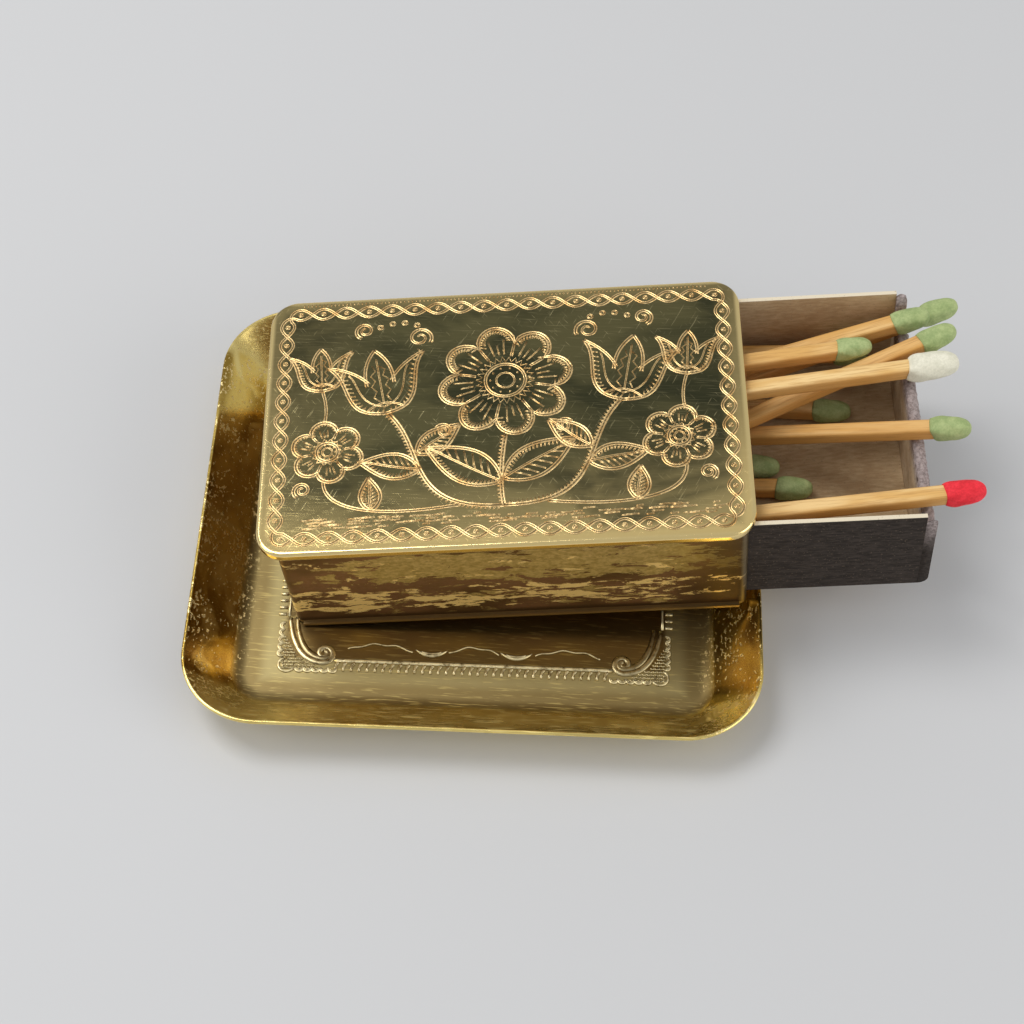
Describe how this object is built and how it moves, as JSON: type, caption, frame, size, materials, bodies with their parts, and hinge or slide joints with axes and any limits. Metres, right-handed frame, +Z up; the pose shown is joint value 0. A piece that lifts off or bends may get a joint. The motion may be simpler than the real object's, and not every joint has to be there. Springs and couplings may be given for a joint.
{
  "type": "matchbox holder",
  "caption": "Engraved brass cover that lifts off a cardboard matchbox, standing in a pressed brass tray, with the drawer slid open and matches in it.",
  "frame": {"origin": "centre of the tray's flat underside", "axes": "+X along the tray's long side, towards the open drawer; +Y to the back; +Z up"},
  "size_m": [0.0924, 0.0606, 0.0241],
  "materials": {
    "tray_brass": "worn golden brown",
    "plate_brass": "polished, dark olive, engraved",
    "body_brass": "tarnished in patches",
    "card": "matt grey board",
    "striker": "rough red-brown coating",
    "drawer_card": "matt grey board",
    "match_wood": "raw aspen",
    "green_head": "matt sage green",
    "red_head": "matt red",
    "white_head": "matt off-white"
  },
  "bodies": {
    "tray": {"tray": "tray_brass"},
    "matchbox": {"matchbox_sleeve": "card", "striker_front": "striker", "striker_back": "striker"},
    "cover": {"cover_top": "plate_brass", "cover_body": "body_brass"},
    "drawer": {"drawer_tray": "drawer_card", "drawer_end_left": "drawer_card", "drawer_end_right": "drawer_card"},
    "match_a": {"stick_a": "match_wood", "head_a": "green_head"},
    "match_b": {"stick_b": "match_wood", "head_b": "green_head"},
    "match_c": {"stick_c": "match_wood", "head_c": "green_head"},
    "match_d": {"stick_d": "match_wood", "head_d": "green_head"},
    "match_e": {"stick_e": "match_wood", "head_e": "green_head"},
    "match_f": {"stick_f": "match_wood", "head_f": "green_head"},
    "match_g": {"stick_g": "match_wood", "head_g": "green_head"},
    "match_h": {"stick_h": "match_wood", "head_h": "green_head"},
    "match_j": {"stick_j": "match_wood", "head_j": "green_head"},
    "match_r": {"stick_r": "match_wood", "head_r": "red_head"},
    "match_w": {"stick_w": "match_wood", "head_w": "white_head"}
  },
  "joints": [
    {"name": "matchbox_lift", "type": "slide", "parent": "tray", "child": "matchbox", "axis": [0, 0, 1], "range_m": [0, 0.06]},
    {"name": "cover_lift", "type": "slide", "parent": "matchbox", "child": "cover", "axis": [-0.0818, -0.0037, 0.9966], "range_m": [0, 0.04]},
    {"name": "drawer_slide", "type": "slide", "parent": "matchbox", "child": "drawer", "axis": [0.9956, 0.0452, 0.0819], "range_m": [-0.02, 0.023]},
    {"name": "match_a_slide", "type": "slide", "parent": "drawer", "child": "match_a", "axis": [0.9286, 0.281, 0.2423], "range_m": [0, 0.03]},
    {"name": "match_b_slide", "type": "slide", "parent": "drawer", "child": "match_b", "axis": [0.9498, 0.2063, 0.2353], "range_m": [0, 0.012]},
    {"name": "match_c_slide", "type": "slide", "parent": "drawer", "child": "match_c", "axis": [0.8977, 0.3087, 0.3144], "range_m": [0, 0.03]},
    {"name": "match_d_slide", "type": "slide", "parent": "drawer", "child": "match_d", "axis": [0.9841, 0.158, 0.0814], "range_m": [0, 0.001]},
    {"name": "match_e_slide", "type": "slide", "parent": "drawer", "child": "match_e", "axis": [0.9924, -0.0769, 0.0958], "range_m": [0, 0.004]},
    {"name": "match_f_slide", "type": "slide", "parent": "drawer", "child": "match_f", "axis": [0.885, -0.2112, 0.4148], "range_m": [0, 0.03]},
    {"name": "match_g_slide", "type": "slide", "parent": "drawer", "child": "match_g", "axis": [0.9945, -0.0421, 0.0957], "range_m": [0, 0.01]},
    {"name": "match_h_slide", "type": "slide", "parent": "drawer", "child": "match_h", "axis": [0.9951, -0.0246, 0.0956], "range_m": [0, 0.008]},
    {"name": "match_j_slide", "type": "slide", "parent": "drawer", "child": "match_j", "axis": [0.9966, 0.0016, 0.0818], "range_m": [0, 0.003]},
    {"name": "match_r_slide", "type": "slide", "parent": "drawer", "child": "match_r", "axis": [0.9845, 0.0691, 0.1611], "range_m": [0, 0.03]},
    {"name": "match_w_slide", "type": "slide", "parent": "drawer", "child": "match_w", "axis": [0.9854, 0.1494, 0.0814], "range_m": [0, 0.03]}
  ]
}
